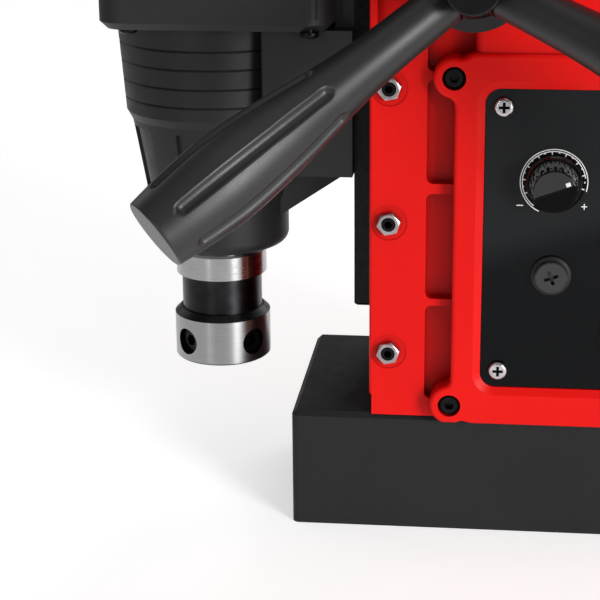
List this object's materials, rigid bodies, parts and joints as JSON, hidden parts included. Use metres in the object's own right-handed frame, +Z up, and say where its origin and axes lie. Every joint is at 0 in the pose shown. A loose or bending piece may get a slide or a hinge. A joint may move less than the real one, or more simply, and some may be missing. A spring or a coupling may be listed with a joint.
{
  "type": "magnetic drill press",
  "caption": "Portable magnetic drill press: magnet foot, red column with dovetail slide, black drill motor, three-arm feed handle and speed panel.",
  "frame": {"origin": "middle of the magnet's underside", "axes": "+Z up the column, -Y towards the drill, +X towards the control panel and feed handle"},
  "size_m": [0.2047, 0.2486, 0.334],
  "materials": {
    "base_paint": "satin",
    "red_casting": "satin",
    "black_casting": "satin",
    "black_plastic": "satin",
    "gloss_black": "gloss",
    "grip_rubber": "satin",
    "black_oxide": "satin",
    "bright_steel": "satin",
    "zinc_steel": "satin",
    "copper": "satin",
    "bronze": "satin",
    "resin": "matte",
    "board_green": "satin",
    "component": "satin",
    "green_button": "gloss",
    "red_button": "gloss",
    "laminated_steel": "matte"
  },
  "bodies": {
    "frame": {"magnet_housing": "base_paint", "magnet_coil": "copper", "coil_potting": "resin", "base_bolts": "black_oxide", "column_housing": "red_casting", "gib_strip": "bronze", "gib_set_screws": "black_oxide", "gib_lock_nuts": "zinc_steel", "shaft_bushes": "bronze", "shaft_end_cap": "black_plastic", "panel_cover": "red_casting", "cover_screws": "black_oxide", "panel_plate": "gloss_black", "panel_screws": "zinc_steel", "potentiometer": "zinc_steel", "fuse_holder": "black_plastic", "magnet_switch": "black_plastic", "button_housings": "black_plastic", "circuit_board": "board_green", "board_parts": "component", "mains_gland": "black_plastic", "column_lead_gland": "black_plastic", "carry_handle": "black_casting", "handle_screws": "black_oxide"},
    "capstan": {"feed_shaft": "bright_steel", "feed_hub": "gloss_black", "hub_cap": "gloss_black", "feed_spokes": "bright_steel", "feed_grip_1": "grip_rubber", "feed_grip_2": "grip_rubber", "feed_grip_3": "grip_rubber"},
    "knob": {"speed_knob": "gloss_black", "potentiometer_shaft": "bright_steel"},
    "fuse_cap": {"fuse_cap": "gloss_black"},
    "rocker": {"magnet_rocker": "gloss_black"},
    "start_button": {"start_button": "green_button"},
    "stop_button": {"stop_button": "red_button"},
    "carriage": {"dovetail_slide": "black_oxide", "feed_rack": "bright_steel", "slide_bolts": "black_oxide", "gearbox_housing": "black_casting", "gear_cover": "black_casting", "spindle_housing": "black_casting", "motor_housing": "black_plastic", "motor_top_cap": "black_plastic", "motor_lead_gland": "black_plastic", "motor_screws": "black_oxide", "brush_holders": "black_plastic", "stator": "laminated_steel", "rotor_bearings": "bright_steel", "gearbox_bearings": "bright_steel"},
    "rotor": {"rotor_shaft": "bright_steel", "rotor_core": "laminated_steel", "cooling_fan": "black_plastic"},
    "layshaft": {"layshaft": "bright_steel"},
    "spindle": {"spindle": "bright_steel", "spindle_gear": "bright_steel", "arbor": "bright_steel", "arbor_set_screws": "black_oxide", "ejector_pin": "bright_steel"}
  },
  "joints": [
    {"name": "carriage_slide", "type": "slide", "parent": "frame", "child": "carriage", "axis": [0, 0, 1], "range_m": [-0.034, 0.09]},
    {"name": "capstan_turn", "type": "hinge", "parent": "frame", "child": "capstan", "pos_m": [0, -0.0193, 0.2025], "axis": [1, 0, 0], "range_deg": [-492, 187]},
    {"name": "spindle_spin", "type": "hinge", "parent": "carriage", "child": "spindle", "pos_m": [0, -0.114, 0.1], "axis": [0, 0, 1], "continuous": true},
    {"name": "layshaft_spin", "type": "hinge", "parent": "carriage", "child": "layshaft", "pos_m": [0, -0.088, 0.16], "axis": [0, 0, 1], "continuous": true},
    {"name": "rotor_spin", "type": "hinge", "parent": "carriage", "child": "rotor", "pos_m": [0, -0.108, 0.23], "axis": [0, 0, 1], "continuous": true},
    {"name": "speed_knob_turn", "type": "hinge", "parent": "frame", "child": "knob", "pos_m": [0.05, 0.0082, 0.1314], "axis": [1, 0, 0], "range_deg": [0, 270]},
    {"name": "fuse_cap_turn", "type": "hinge", "parent": "frame", "child": "fuse_cap", "pos_m": [0.048, 0.0082, 0.0987], "axis": [1, 0, 0], "range_deg": [0, 90]},
    {"name": "magnet_rocker_tip", "type": "hinge", "parent": "frame", "child": "rocker", "pos_m": [0.043, 0.0364, 0.1411], "axis": [0, 0, 1], "range_deg": [-14, 0]},
    {"name": "start_button_push", "type": "slide", "parent": "frame", "child": "start_button", "axis": [-1, 0, 0], "range_m": [0, 0.0025], "stiffness_N_per_m": 400, "springref_m": -0.001},
    {"name": "stop_button_push", "type": "slide", "parent": "frame", "child": "stop_button", "axis": [-1, 0, 0], "range_m": [0, 0.0025], "stiffness_N_per_m": 400, "springref_m": -0.001}
  ],
  "couplings": [
    {"joint": "capstan_turn", "follows": "carriage_slide", "rad_per_m": -95.238},
    {"joint": "layshaft_spin", "follows": "spindle_spin", "ratio": -3.3333},
    {"joint": "rotor_spin", "follows": "spindle_spin", "ratio": 10}
  ]
}
